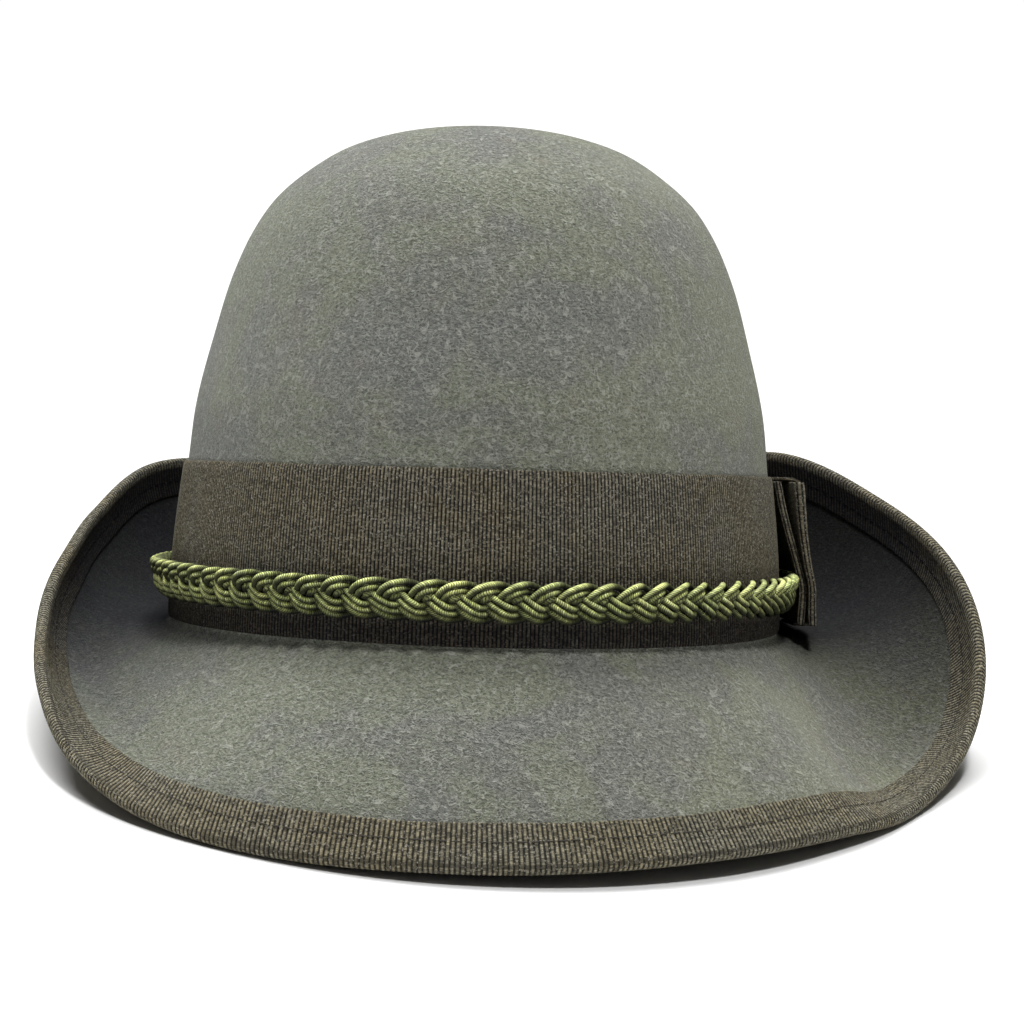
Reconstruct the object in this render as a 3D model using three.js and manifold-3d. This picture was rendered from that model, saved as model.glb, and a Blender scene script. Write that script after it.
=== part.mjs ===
// A tyrolean hat of soft felt: a tall round crown with no dent, a wide brim that is snapped down in front and
// turned up at the sides and back, a ribbed ribbon band with a flat bow, a plaited cord over the band's foot and a
// ribbed ribbon folded over the brim's edge. Millimetres, +Z up. The front of the hat faces -Y and the bow is on
// the wearer's left, +X. The hat is built upright on its head opening, then laid on its brim as it rests.
import * as THREE from "three";
import { mergeVertices } from "three/addons/utils/BufferGeometryUtils.js";
import Module from "manifold-3d";

const wasm = await Module();
wasm.setup();

// The felt body. The two half sizes are those of the head opening, inside the felt.
const HEAD_HALF_WIDTH = 85;
const HEAD_HALF_LENGTH = 103;
const FELT = 2.5;
const CROWN_HEIGHT = 144;
const BREAK_RADIUS = 1.6;
const BRIM_WIDTH = 62;
const BRIM_CURL = 18;

// The ribbons, and the clearance that every piece keeps from its neighbour.
const RIBBON = 1;
const CLEARANCE = 0.3;
const BAND_HEIGHT = 44;
const BINDING_DEPTH = 10;

// The plaited cord round the band.
const CORD_HEIGHT = 12.4;
const CORD_THICKNESS = 5;
const CORD_LEVEL = 12.9;
const CORD_CROSSINGS = 84;
const CORD_RELIEF = 0.5;

// The bow: how far its front end lies before the widest place of the crown, its length and its height.
const BOW_LEAD = 15;
const BOW_LENGTH = 48;
const BOW_HEIGHT = 41;
const BOW_LIFT = 3.4;
const KNOT_WIDTH = 16;

// How deep the soft edge is pressed flat where the hat rests.
const REST_FLAT = 0.35;

// How finely the shapes are divided.
const STATIONS = 64;
const BRIM_STEPS = 3;
const CURL_STEPS = 2;
const RIM_STEPS = 3;

// The crown's outline: height as a share of CROWN_HEIGHT, width as a share of the opening's outer width.
const CROWN = [
  { height: 0.0, width: 1.0 },
  { height: 0.147, width: 0.99 },
  { height: 0.325, width: 0.96 },
  { height: 0.429, width: 0.942 },
  { height: 0.568, width: 0.89 },
  { height: 0.705, width: 0.825 },
  { height: 0.773, width: 0.777 },
  { height: 0.84, width: 0.708 },
  { height: 0.904, width: 0.594 },
  { height: 0.942, width: 0.5 },
  { height: 0.969, width: 0.39 },
  { height: 0.989, width: 0.25 },
];

// The brim's sections: turn in degrees from the front, positive to +X; width as a share of BRIM_WIDTH; and the
// slope in degrees, positive when it rises outwards, at the crown (start), where the curled rim begins (curl) and
// at the edge (end).
const BRIM = [
  { turn: -180, width: 0.87, start: 30, curl: 74, end: 90 },
  { turn: -135, width: 0.88, start: 30, curl: 70, end: 92 },
  { turn: -120, width: 0.88, start: 27, curl: 60, end: 92 },
  { turn: -105, width: 0.745, start: 5, curl: 45, end: 95 },
  { turn: -90, width: 0.64, start: -10, curl: 19, end: 98 },
  { turn: -75, width: 0.665, start: -32, curl: -18, end: 85 },
  { turn: -60, width: 0.755, start: -44, curl: -30, end: 55 },
  { turn: -45, width: 0.87, start: -44, curl: -40, end: 0 },
  { turn: -30, width: 0.945, start: -40, curl: -46, end: -52 },
  { turn: 0, width: 0.965, start: -38, curl: -54, end: -63 },
  { turn: 30, width: 0.955, start: -41, curl: -47, end: -52 },
  { turn: 45, width: 0.955, start: -41, curl: -44, end: -42 },
  { turn: 60, width: 0.995, start: -52, curl: -42, end: 8 },
  { turn: 75, width: 1.01, start: -44, curl: -22, end: 50 },
  { turn: 90, width: 0.98, start: -16, curl: 29, end: 88 },
  { turn: 105, width: 0.975, start: -2, curl: 66, end: 92 },
  { turn: 120, width: 0.955, start: 30, curl: 84, end: 92 },
  { turn: 135, width: 0.91, start: 36, curl: 84, end: 92 },
];

// The bow's plies over the bulge of the cord: height as a share of BOW_HEIGHT; lean is how far the inner loop is
// pushed out, as a share of the room that the cord takes up; open is how far the outer loop stands off the inner
// one, as a share of the same room.
const BOW = [
  { height: 0.0, lean: 0.86, open: 0.12 },
  { height: 0.12, lean: 0.94, open: 0.04 },
  { height: 0.26, lean: 1.0, open: 0.0 },
  { height: 0.42, lean: 0.74, open: 0.05 },
  { height: 0.62, lean: 0.4, open: 0.22 },
  { height: 0.82, lean: 0.14, open: 0.42 },
  { height: 1.0, lean: 0.0, open: 0.55 },
];

const OUTER_HALF_WIDTH = HEAD_HALF_WIDTH + FELT;
const OUTER_HALF_LENGTH = HEAD_HALF_LENGTH + FELT;
const BAND_TOP = BREAK_RADIUS + BAND_HEIGHT;
const radians = THREE.MathUtils.degToRad;

// A smooth value between table rows: rows are in order of row[key], and the curve passes through each of them.
function smooth(rows, key, field, at, period = 0) {
  const count = rows.length;
  const row = (i) => {
    if (!period) return rows[Math.min(Math.max(i, 0), count - 1)];
    const lap = Math.floor(i / count);
    const r = rows[i - lap * count];
    return { [key]: r[key] + lap * period, [field]: r[field] };
  };
  let i = 0;
  while (i < count - (period ? 1 : 2) && at >= row(i + 1)[key]) i += 1;
  const [before, a, b, after] = [row(i - 1), row(i), row(i + 1), row(i + 2)];
  const slope = (p, q, r) => {
    if (p[key] === q[key] || q[key] === r[key]) return (r[field] - p[field]) / (r[key] - p[key]);
    const left = (q[field] - p[field]) / (q[key] - p[key]);
    const right = (r[field] - q[field]) / (r[key] - q[key]);
    const share = (q[key] - p[key]) / (r[key] - p[key]);
    return left * (1 - share) + right * share;
  };
  const span = b[key] - a[key];
  const s = (at - a[key]) / span;
  const m0 = slope(before, a, b) * span;
  const m1 = slope(a, b, after) * span;
  const [s2, s3] = [s * s, s * s * s];
  return (
    a[field] * (2 * s3 - 3 * s2 + 1) + m0 * (s3 - 2 * s2 + s) + b[field] * (3 * s2 - 2 * s3) + m1 * (s3 - s2)
  );
}

// The crown's width, as a share of the opening's, at a height over the opening.
function crownWidth(z) {
  return smooth(CROWN, "height", "width", Math.max(z, 0) / CROWN_HEIGHT);
}

// A point at a turn round the crown (radians from the front), moved out by `out` from the oval of that width.
function place(turn, width, out, z) {
  const nx = OUTER_HALF_LENGTH * Math.sin(turn);
  const ny = -OUTER_HALF_WIDTH * Math.cos(turn);
  const length = Math.hypot(nx, ny);
  return new THREE.Vector3(
    OUTER_HALF_WIDTH * width * Math.sin(turn) + (out * nx) / length,
    -OUTER_HALF_LENGTH * width * Math.cos(turn) + (out * ny) / length,
    z,
  );
}

// A point that stands off the crown's wall by `out` at a height.
function onCrown(turn, z, out) {
  return place(turn, crownWidth(z), out, z);
}

// An arc of felt from a point, over a length, between two slopes: the place after a length s along it.
function alongArc(from, length, first, last, s) {
  const bend = (last - first) / length;
  const slope = first + bend * s;
  if (Math.abs(bend) < 1e-6) {
    return { out: from.out + s * Math.cos(first), z: from.z + s * Math.sin(first), slope };
  }
  return {
    out: from.out + (Math.sin(slope) - Math.sin(first)) / bend,
    z: from.z + (Math.cos(first) - Math.cos(slope)) / bend,
    slope,
  };
}

// The brim's section at a turn: a small bend off the crown's wall, a wide arc, then the arc of the curled rim.
// It gives its width and a function for the place and slope of its upper face after a length s of felt.
function brimSection(turn) {
  const degrees = THREE.MathUtils.euclideanModulo(THREE.MathUtils.radToDeg(turn) + 180, 360) - 180;
  const read = (field) => smooth(BRIM, "turn", field, degrees, 360);
  const width = BRIM_WIDTH * read("width");
  const [start, curl, end] = ["start", "curl", "end"].map((field) => radians(read(field)));
  const reach = width - BRIM_CURL;
  const foot = {
    out: BREAK_RADIUS * (1 + Math.sin(start)),
    z: BREAK_RADIUS * (1 - Math.cos(start)),
  };
  const knee = alongArc(foot, reach, start, curl, reach);
  const point = (s) =>
    s <= reach ? alongArc(foot, reach, start, curl, s) : alongArc(knee, BRIM_CURL, curl, end, s - reach);
  return { width, start, reach, point };
}

// A point off the brim's upper face at a length s, moved along the felt's normal by `lift`.
function onBrim(turn, section, s, lift) {
  const p = section.point(s);
  return place(turn, 1, p.out - lift * Math.sin(p.slope), p.z + lift * Math.cos(p.slope));
}

// The half round over the brim's edge: points at a distance `radius` from the middle of the felt's edge.
function roundEdge(turn, section, radius, steps) {
  const edge = section.point(section.width);
  const middle = { out: edge.out + (FELT / 2) * Math.sin(edge.slope), z: edge.z - (FELT / 2) * Math.cos(edge.slope) };
  const points = [];
  for (let i = 1; i < steps; i += 1) {
    const angle = edge.slope + Math.PI / 2 - (Math.PI * i) / steps;
    points.push(place(turn, 1, middle.out + radius * Math.cos(angle), middle.z + radius * Math.sin(angle)));
  }
  return points;
}

// A closed solid from rows of points: each row has one point per station, and rows join in order. With `loop` the
// last row joins the first one; without it the ends close on one point each. With `ring` the stations close too.
function solidFromRows(rows, { loop = false, poles = [], ring = true }) {
  const across = rows[0].length;
  const corners = rows.flat().concat(poles);
  const faces = [];
  const at = (row, i) => (row % rows.length) * across + (i % across);
  const columns = ring ? across : across - 1;
  for (let r = 0; r < (loop ? rows.length : rows.length - 1); r += 1) {
    for (let i = 0; i < columns; i += 1) {
      faces.push([at(r, i), at(r + 1, i), at(r, i + 1)]);
      faces.push([at(r, i + 1), at(r + 1, i), at(r + 1, i + 1)]);
    }
  }
  poles.forEach((_, end) => {
    const pole = rows.length * across + end;
    const row = end === 0 ? 0 : rows.length - 1;
    for (let i = 0; i < across; i += 1) {
      faces.push(end === 0 ? [pole, at(row, i), at(row, i + 1)] : [at(row, i), pole, at(row, i + 1)]);
    }
  });
  return solidFromFaces(corners, faces);
}

function solidFromFaces(corners, faces) {
  const geometry = new THREE.BufferGeometry().setFromPoints(corners);
  geometry.setIndex(faces.flat());
  return toManifold(geometry);
}

function toManifold(geometry) {
  geometry.deleteAttribute("normal");
  geometry.deleteAttribute("uv");
  const merged = mergeVertices(geometry, 1e-4);
  const make = (triVerts) =>
    new wasm.Manifold(
      new wasm.Mesh({ numProp: 3, vertProperties: merged.attributes.position.array, triVerts }),
    );
  const solid = make(new Uint32Array(merged.index.array));
  if (solid.volume() > 0) return solid;
  return make(new Uint32Array(merged.index.array).reverse());
}

function toGeometry(solid) {
  const mesh = solid.getMesh();
  const positions = new Float32Array(mesh.numVert * 3);
  for (let i = 0; i < mesh.numVert; i += 1) {
    positions.set(mesh.vertProperties.subarray(i * mesh.numProp, i * mesh.numProp + 3), i * 3);
  }
  const geometry = new THREE.BufferGeometry();
  geometry.setAttribute("position", new THREE.BufferAttribute(positions, 3));
  geometry.setIndex(new THREE.BufferAttribute(mesh.triVerts, 1));
  geometry.computeVertexNormals();
  return geometry;
}

const turns = Array.from({ length: STATIONS }, (_, i) => (i / STATIONS) * 2 * Math.PI);
const sections = turns.map(brimSection);
const rowAt = (make) => turns.map((turn, i) => make(turn, sections[i]));

// Lengths along each brim section where the felt and its binding both have a row of points.
function brimLengths({ width, reach }) {
  const bound = width - BINDING_DEPTH;
  const wide = Array.from({ length: BRIM_STEPS }, (_, i) => (reach * (i + 1)) / BRIM_STEPS);
  const curled = Array.from({ length: CURL_STEPS - 1 }, (_, i) => reach + ((bound - reach) * (i + 1)) / CURL_STEPS);
  return [...wide, ...curled, bound, width - BINDING_DEPTH / 2, width];
}
const BRIM_ROWS = BRIM_STEPS + CURL_STEPS + 2;
const BOUND_ROW = BRIM_ROWS - 3;

// The crown's rows: the table's heights over the band, and the band's own heights under them.
const bandHeights = [BREAK_RADIUS, BREAK_RADIUS + BAND_HEIGHT * 0.45, BAND_TOP];
const crownHeights = CROWN.map((row) => row.height * CROWN_HEIGHT).filter((z) => z > BAND_TOP + 2);
const wallHeights = [...crownHeights.reverse(), ...[...bandHeights].reverse()];

// A point of the crown's inner face below the outer point at that height.
function insideCrown(turn, z) {
  const step = 0.5;
  const rise = 2 * step;
  const run = (crownWidth(z - step) - crownWidth(z + step)) * OUTER_HALF_WIDTH;
  const length = Math.hypot(rise, run);
  return place(turn, crownWidth(z), (-FELT * rise) / length, z - (FELT * run) / length);
}

// The arc between the crown's wall and the brim, at a distance from its outer face.
function breakRow(share, depth) {
  return rowAt((turn, section) => {
    const angle = Math.PI - share * (Math.PI / 2 + section.start);
    const radius = BREAK_RADIUS + depth;
    return place(turn, 1, BREAK_RADIUS + radius * Math.cos(angle), BREAK_RADIUS - radius * Math.sin(angle));
  });
}

function feltBody() {
  const rows = [];
  wallHeights.forEach((z) => rows.push(rowAt((turn) => onCrown(turn, z, 0))));
  [1 / 3, 2 / 3, 1].forEach((share) => rows.push(breakRow(share, 0)));
  for (let k = 0; k < BRIM_ROWS; k += 1) {
    rows.push(rowAt((turn, section) => onBrim(turn, section, brimLengths(section)[k], 0)));
  }
  for (let k = 0; k < RIM_STEPS - 1; k += 1) {
    rows.push(rowAt((turn, section) => roundEdge(turn, section, FELT / 2, RIM_STEPS)[k]));
  }
  for (let k = BRIM_ROWS - 1; k >= 0; k -= 1) {
    rows.push(rowAt((turn, section) => onBrim(turn, section, brimLengths(section)[k], -FELT)));
  }
  rows.push(breakRow(1, FELT));
  rows.push(breakRow(0.5, FELT));
  rows.push(rowAt((turn) => place(turn, 1, -FELT, BREAK_RADIUS)));
  [...wallHeights].reverse().slice(1).forEach((z) => rows.push(rowAt((turn) => insideCrown(turn, z))));
  return solidFromRows(rows, {
    poles: [new THREE.Vector3(0, 0, CROWN_HEIGHT), new THREE.Vector3(0, 0, CROWN_HEIGHT - FELT)],
  });
}

function ribbonBand() {
  const rows = [];
  bandHeights.forEach((z) => rows.push(rowAt((turn) => onCrown(turn, z, CLEARANCE + RIBBON))));
  [...bandHeights].reverse().forEach((z) => rows.push(rowAt((turn) => onCrown(turn, z, CLEARANCE))));
  return solidFromRows(rows, { loop: true });
}

function brimBinding() {
  const skin = (lift, radius) => {
    const made = [];
    for (let k = BOUND_ROW; k < BRIM_ROWS; k += 1) {
      made.push(rowAt((turn, section) => onBrim(turn, section, brimLengths(section)[k], lift)));
    }
    for (let k = 0; k < RIM_STEPS - 1; k += 1) {
      made.push(rowAt((turn, section) => roundEdge(turn, section, radius, RIM_STEPS)[k]));
    }
    for (let k = BRIM_ROWS - 1; k >= BOUND_ROW; k -= 1) {
      made.push(rowAt((turn, section) => onBrim(turn, section, brimLengths(section)[k], -FELT - lift)));
    }
    return made;
  };
  const inner = skin(CLEARANCE, FELT / 2 + CLEARANCE);
  const outer = skin(CLEARANCE + RIBBON, FELT / 2 + CLEARANCE + RIBBON);
  return solidFromRows([...inner, ...outer.reverse()], { loop: true });
}

// The plait is one ring with a flat oval section. Its upper and lower edges bulge in turn, once per crossing.
function hatCord() {
  const corners = 6;
  const steps = CORD_CROSSINGS * 2;
  const seat = CLEARANCE + RIBBON + CLEARANCE + CORD_THICKNESS / 2;
  const rows = [];
  for (let c = 0; c < corners; c += 1) {
    const angle = (c / corners) * 2 * Math.PI;
    const side = Math.sin(angle);
    rows.push(
      Array.from({ length: steps }, (_, i) => {
        const turn = (i / steps) * 2 * Math.PI;
        const bulge = Math.abs(side) < 0.1 ? 0 : (i % 2 === 0) === side > 0 ? CORD_RELIEF : -CORD_RELIEF;
        const rise = side * (CORD_HEIGHT / 2 + bulge);
        const out = seat + (Math.cos(angle) * CORD_THICKNESS) / 2;
        return place(turn, crownWidth(CORD_LEVEL), out, CORD_LEVEL + rise);
      }),
    );
  }
  return solidFromRows(rows, { loop: true });
}

const CORD_ROOM = CORD_THICKNESS + CLEARANCE;
const PLY = RIBBON / 2;
const LOOP_GAP = CLEARANCE + RIBBON;

// How far the middle of a bow ply stands off the crown at a height share: plies count outwards from the band.
function plyOut(ply, share) {
  const lean = smooth(BOW, "height", "lean", share) * CORD_ROOM;
  const open = smooth(BOW, "height", "open", share) * CORD_ROOM;
  const base = CLEARANCE + RIBBON + CLEARANCE + PLY + lean;
  const stack = [0, LOOP_GAP, LOOP_GAP * 2 + open, LOOP_GAP * 3 + open * 1.35];
  return base + stack[ply];
}

// The turn at a distance along Y from the widest place of the crown, positive to the back.
const turnAlong = (y) => Math.acos(-y / OUTER_HALF_LENGTH);

// A flat loop of ribbon: two plies joined by a fold at each end. `inner` is its first ply and `inset` how much
// shorter than the bow it is at each end.
function bowLoop(inner, inset) {
  const folds = 3;
  const along = 6;
  const from = -BOW_LEAD + inset;
  const to = BOW_LENGTH - BOW_LEAD - inset;
  const profile = (offset) => {
    const points = [];
    for (let i = 0; i <= along; i += 1) points.push({ share: i / along, ply: 1, fold: 0, offset });
    for (let i = 1; i < folds; i += 1) points.push({ share: 1, ply: 1, fold: i / folds, offset });
    for (let i = along; i >= 0; i -= 1) points.push({ share: i / along, ply: 0, fold: 0, offset: -offset });
    for (let i = 1; i < folds; i += 1) points.push({ share: 0, ply: 0, fold: i / folds, offset });
    return points;
  };
  const put = (p, share) => {
    const near = plyOut(inner, share);
    const far = plyOut(inner + 1, share);
    const middle = (near + far) / 2;
    const half = (far - near) / 2;
    const z = BOW_LIFT + share * BOW_HEIGHT;
    if (!p.fold) {
      const y = from + (to - from) * p.share;
      return onCrown(turnAlong(y), z, (p.ply ? far : near) + p.offset);
    }
    const sign = p.ply ? 1 : -1;
    const radius = half + p.offset;
    const angle = sign * (Math.PI / 2 - Math.PI * p.fold);
    const y = (p.ply ? to : from) + sign * radius * Math.cos(angle);
    return onCrown(turnAlong(y), z, middle + radius * Math.sin(angle));
  };
  const shares = BOW.map((row) => row.height);
  const outside = shares.map((share) => profile(PLY).map((p) => put(p, share)));
  const inside = shares.map((share) => profile(-PLY).map((p) => put(p, share)));
  return solidFromRows([...outside, ...inside.reverse()], { loop: true });
}

// The knot is a strip laid over the middle of the loops, with its ends turned in over their upper and lower edges.
function bowKnot() {
  const middle = BOW_LENGTH / 2 - BOW_LEAD;
  const columns = [-1, -1 / 3, 1 / 3, 1].map((side) => turnAlong(middle + (side * KNOT_WIDTH) / 2));
  const face = (extra) => {
    const points = BOW.map((row) => ({
      out: plyOut(3, row.height) + PLY + CLEARANCE + extra,
      z: BOW_LIFT + row.height * BOW_HEIGHT,
    }));
    const low = { out: plyOut(0, 0), z: BOW_LIFT - CLEARANCE - extra };
    const high = { out: plyOut(0, 1), z: BOW_LIFT + BOW_HEIGHT + CLEARANCE + extra };
    points[0].z = low.z;
    points[points.length - 1].z = high.z;
    return [low, ...points, high];
  };
  const outline = [...face(RIBBON), ...face(0).reverse()];
  const corners = columns.flatMap((turn) => outline.map((p) => place(turn, crownWidth(p.z), p.out, p.z)));
  const size = outline.length;
  const last = (columns.length - 1) * size;
  const faces = [];
  for (let c = 0; c < columns.length - 1; c += 1) {
    for (let i = 0; i < size; i += 1) {
      const j = (i + 1) % size;
      faces.push([c * size + i, (c + 1) * size + i, c * size + j]);
      faces.push([c * size + j, (c + 1) * size + i, (c + 1) * size + j]);
    }
  }
  for (let i = 0; i < size / 2 - 1; i += 1) {
    const j = size - 1 - i;
    faces.push([i, i + 1, j], [i + 1, j - 1, j]);
    faces.push([last + i, last + j, last + i + 1], [last + i + 1, last + j, last + j - 1]);
  }
  return solidFromFaces(corners, faces);
}

// The pose in which the hat rests: of all ways to lay it down, the one near upright with the lowest middle.
function restingPose(points) {
  const middle = new THREE.Vector3(0, 0, CROWN_HEIGHT * 0.3);
  const turned = (pitch, roll) => new THREE.Matrix4().makeRotationFromEuler(new THREE.Euler(pitch, roll, 0));
  const height = (pitch, roll) => {
    const e = turned(pitch, roll).elements;
    const up = new THREE.Vector3(e[2], e[6], e[10]);
    return up.dot(middle) - Math.min(...points.map((p) => up.dot(p)));
  };
  let [pitch, roll] = [0, 0];
  for (let step = 0.1; step > 1e-6; step *= 0.5) {
    let moved = true;
    while (moved) {
      moved = false;
      for (const [a, b] of [[1, 0], [-1, 0], [0, 1], [0, -1], [1, 1], [1, -1], [-1, 1], [-1, -1]]) {
        if (height(pitch + a * step, roll + b * step) < height(pitch, roll) - 1e-9) {
          pitch += a * step;
          roll += b * step;
          moved = true;
        }
      }
    }
  }
  return turned(pitch, roll);
}

const pieces = {
  felt_body: { solid: feltBody(), color: 0x74786c, roughness: 0.95 },
  ribbon_band: { solid: ribbonBand(), color: 0x4a463a, roughness: 0.75 },
  brim_binding: { solid: brimBinding(), color: 0x5b5647, roughness: 0.75 },
  hat_cord: { solid: hatCord(), color: 0x66742e, roughness: 0.4 },
  bow_inner_loop: { solid: bowLoop(0, 2), color: 0x4a463a, roughness: 0.75 },
  bow_outer_loop: { solid: bowLoop(2, 0), color: 0x4a463a, roughness: 0.75 },
  bow_knot: { solid: bowKnot(), color: 0x4a463a, roughness: 0.75 },
};

// The brim's edge and the felt behind it carry the hat, so their points decide how it lies.
const resting = ["felt_body", "brim_binding"].flatMap((name) => {
  const mesh = pieces[name].solid.getMesh();
  return Array.from({ length: mesh.numVert }, (_, i) =>
    new THREE.Vector3().fromArray(mesh.vertProperties, i * mesh.numProp),
  );
});
const pose = restingPose(resting);
const lowest = Math.min(...resting.map((p) => p.clone().applyMatrix4(pose).z));

// Each piece laid down and pressed flat, then moved so that the middle of the hat's box is over the origin.
for (const piece of Object.values(pieces)) {
  piece.laid = piece.solid
    .transform(pose.elements)
    .translate([0, 0, -lowest - REST_FLAT])
    .trimByPlane([0, 0, 1], 0);
}
const boxes = Object.values(pieces).map((piece) => piece.laid.boundingBox());
const middleOf = (axis) =>
  (Math.min(...boxes.map((box) => box.min[axis])) + Math.max(...boxes.map((box) => box.max[axis]))) / 2;

const group = new THREE.Group();
group.position.set(-middleOf(0), -middleOf(1), 0);
for (const [name, { laid, color, roughness }] of Object.entries(pieces)) {
  const material = new THREE.MeshStandardMaterial({ color, roughness, metalness: 0 });
  const mesh = new THREE.Mesh(toGeometry(laid), material);
  mesh.name = name;
  group.add(mesh);
}

export default group;
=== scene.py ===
import math

import bpy
import numpy as np
from mathutils import Matrix, Vector


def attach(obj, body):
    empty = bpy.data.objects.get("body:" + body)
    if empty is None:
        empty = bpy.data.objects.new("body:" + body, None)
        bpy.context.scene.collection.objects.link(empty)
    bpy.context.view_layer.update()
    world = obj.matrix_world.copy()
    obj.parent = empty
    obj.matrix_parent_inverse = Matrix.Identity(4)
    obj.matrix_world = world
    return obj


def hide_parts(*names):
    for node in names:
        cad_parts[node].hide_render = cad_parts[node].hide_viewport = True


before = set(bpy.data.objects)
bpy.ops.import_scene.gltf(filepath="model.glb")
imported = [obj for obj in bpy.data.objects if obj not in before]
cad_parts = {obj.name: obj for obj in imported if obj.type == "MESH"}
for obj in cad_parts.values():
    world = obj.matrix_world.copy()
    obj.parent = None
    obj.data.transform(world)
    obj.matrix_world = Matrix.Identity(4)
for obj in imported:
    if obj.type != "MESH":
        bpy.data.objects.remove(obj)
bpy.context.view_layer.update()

bl_info = {
    "name": "Tyrolean hat",
    "version": (1, 0, 0),
    "blender": (4, 5, 0),
    "location": "3D View > Sidebar > Hat",
    "description": "A felt hat with ribbed ribbons, a plaited cord and its stage",
    "category": "Add Mesh",
}

MM = 0.001

# The crown's outline: height as a share of its height, width as a share of the opening's outer width.
CROWN = {
    "height": (0, 0.147, 0.325, 0.429, 0.568, 0.705, 0.773, 0.84, 0.904, 0.942, 0.969, 0.989),
    "width": (1, 0.99, 0.96, 0.942, 0.89, 0.825, 0.777, 0.708, 0.594, 0.5, 0.39, 0.25),
}

# The brim's sections: turn from the front, width as a share, and the slopes at crown, curl and edge in degrees.
BRIM = {
    "turn": (-180, -135, -120, -105, -90, -75, -60, -45, -30, 0, 30, 45, 60, 75, 90, 105, 120, 135),
    "width": (0.87, 0.88, 0.88, 0.745, 0.64, 0.665, 0.755, 0.87, 0.945, 0.965, 0.955, 0.955, 0.995, 1.01,
              0.98, 0.975, 0.955, 0.91),
    "start": (30, 30, 27, 5, -10, -32, -44, -44, -40, -38, -41, -41, -52, -44, -16, -2, 30, 36),
    "curl": (74, 70, 60, 45, 19, -18, -30, -40, -46, -54, -47, -44, -42, -22, 29, 66, 84, 84),
    "end": (90, 92, 92, 95, 98, 85, 55, 0, -52, -63, -52, -42, 8, 50, 88, 92, 92, 92),
}

# The bow's plies at heights of the bow: how far they lean out over the cord and how far the outer loop opens.
BOW = {
    "height": (0, 0.12, 0.26, 0.42, 0.62, 0.82, 1),
    "lean": (0.86, 0.94, 1, 0.74, 0.4, 0.14, 0),
    "open": (0.12, 0.04, 0, 0.05, 0.22, 0.42, 0.55),
}


def length_property(name, description, millimetres, **more):
    """A length in metres whose default is given in millimetres"""
    return bpy.props.FloatProperty(
        name=name, description=description, default=millimetres * MM, unit="LENGTH", precision=5, **more)


def colour_property(name, description, colour):
    """A linear colour that a user can change"""
    return bpy.props.FloatVectorProperty(
        name=name, description=description, default=colour, subtype="COLOR", size=3, min=0, max=1)


class HatSizes(bpy.types.PropertyGroup):
    """The hat's own sizes"""
    half_width: length_property("Head half width", "Half the width of the head opening inside the felt", 85)
    half_length: length_property("Head half length", "Half the length of the head opening inside the felt", 103)
    felt: length_property("Felt", "Thickness of the felt", 2.5)
    crown_height: length_property("Crown height", "Height of the crown over the brim's break", 144)
    break_radius: length_property("Break radius", "Radius of the bend between crown and brim", 1.6)
    brim_width: length_property("Brim width", "Width that the brim's shares refer to", 62)
    brim_curl: length_property("Brim curl", "Width of the curled rim", 18)
    ribbon: length_property("Ribbon", "Thickness of the ribbed ribbon", 1)
    clearance: length_property("Clearance", "Gap between a piece and what it lies on", 0.3)
    band_height: length_property("Band height", "Width of the ribbon round the crown", 44)
    band_rib: length_property("Band rib", "Distance from rib to rib on the band and the bow", 1.04)
    binding_ribbon: length_property("Binding ribbon", "Thickness of the thin ribbon on the brim's edge", 0.6)
    binding_depth: length_property("Binding depth", "How far the binding reaches in from the edge", 10)
    binding_rib: length_property("Binding rib", "Distance from rib to rib on the binding", 1.22)


class TrimSizes(bpy.types.PropertyGroup):
    """The sizes of the plaited cord, the bow and the stitches"""
    plait_height: length_property("Plait height", "Height of the flat plait", 11.2)
    plait_thickness: length_property("Plait thickness", "Thickness of the flat plait", 5)
    plait_level: length_property("Plait level", "Height of the plait's middle over the brim's break", 12.9)
    plait_turns: bpy.props.IntProperty(
        name="Plait turns", description="Full turns of each strand round the hat", default=28, min=3)
    cord_width: length_property("Cord width", "Diameter of one of the nine cords", 1.62)
    wrap_pitch: length_property("Wrap pitch", "Distance between the turns of thread round a cord", 0.56)
    bow_lead: length_property("Bow lead", "How far the bow starts before the crown's widest place", 15)
    bow_length: length_property("Bow length", "Length of the bow", 48)
    bow_height: length_property("Bow height", "Width of the bow's ribbon", 41)
    bow_lift: length_property("Bow lift", "Height of the bow's lower edge over the brim's break", 3.4)
    knot_width: length_property("Knot width", "Width of the strip over the bow", 16)
    stitch_inset: length_property("Stitch inset", "Distance of the seam from the brim's edge", 5.4)
    stitch_pitch: length_property("Stitch pitch", "Distance from stitch to stitch", 3.1)
    stitch_thread: length_property("Stitch thread", "Diameter of the sewing thread", 0.42)


class HatColours(bpy.types.PropertyGroup):
    """The hat's colours"""
    felt: colour_property("Felt", "Main grey-green of the felt", (0.182, 0.194, 0.146))
    felt_cool: colour_property("Felt, cool", "Slate blotches in the felt", (0.158, 0.162, 0.15))
    felt_fibre: colour_property("Felt fibre", "Pale fibres on the felt", (0.43, 0.44, 0.385))
    ribbon: colour_property("Ribbon", "Brown-olive of band and bow", (0.14, 0.12, 0.075))
    binding: colour_property("Binding", "Brown-olive of the bound edge", (0.178, 0.155, 0.094))
    cord: colour_property("Cord", "Olive-lime of the plait", (0.8, 0.9, 0.32))
    thread: colour_property("Thread", "Sewing thread of the binding", (0.03, 0.027, 0.02))


def sizes():
    """The hat's sizes in millimetres, as attributes of the scene's property groups"""
    return bpy.context.scene.hat_sizes, bpy.context.scene.hat_trim


def mm(value):
    """A length property in millimetres"""
    return value / MM


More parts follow.
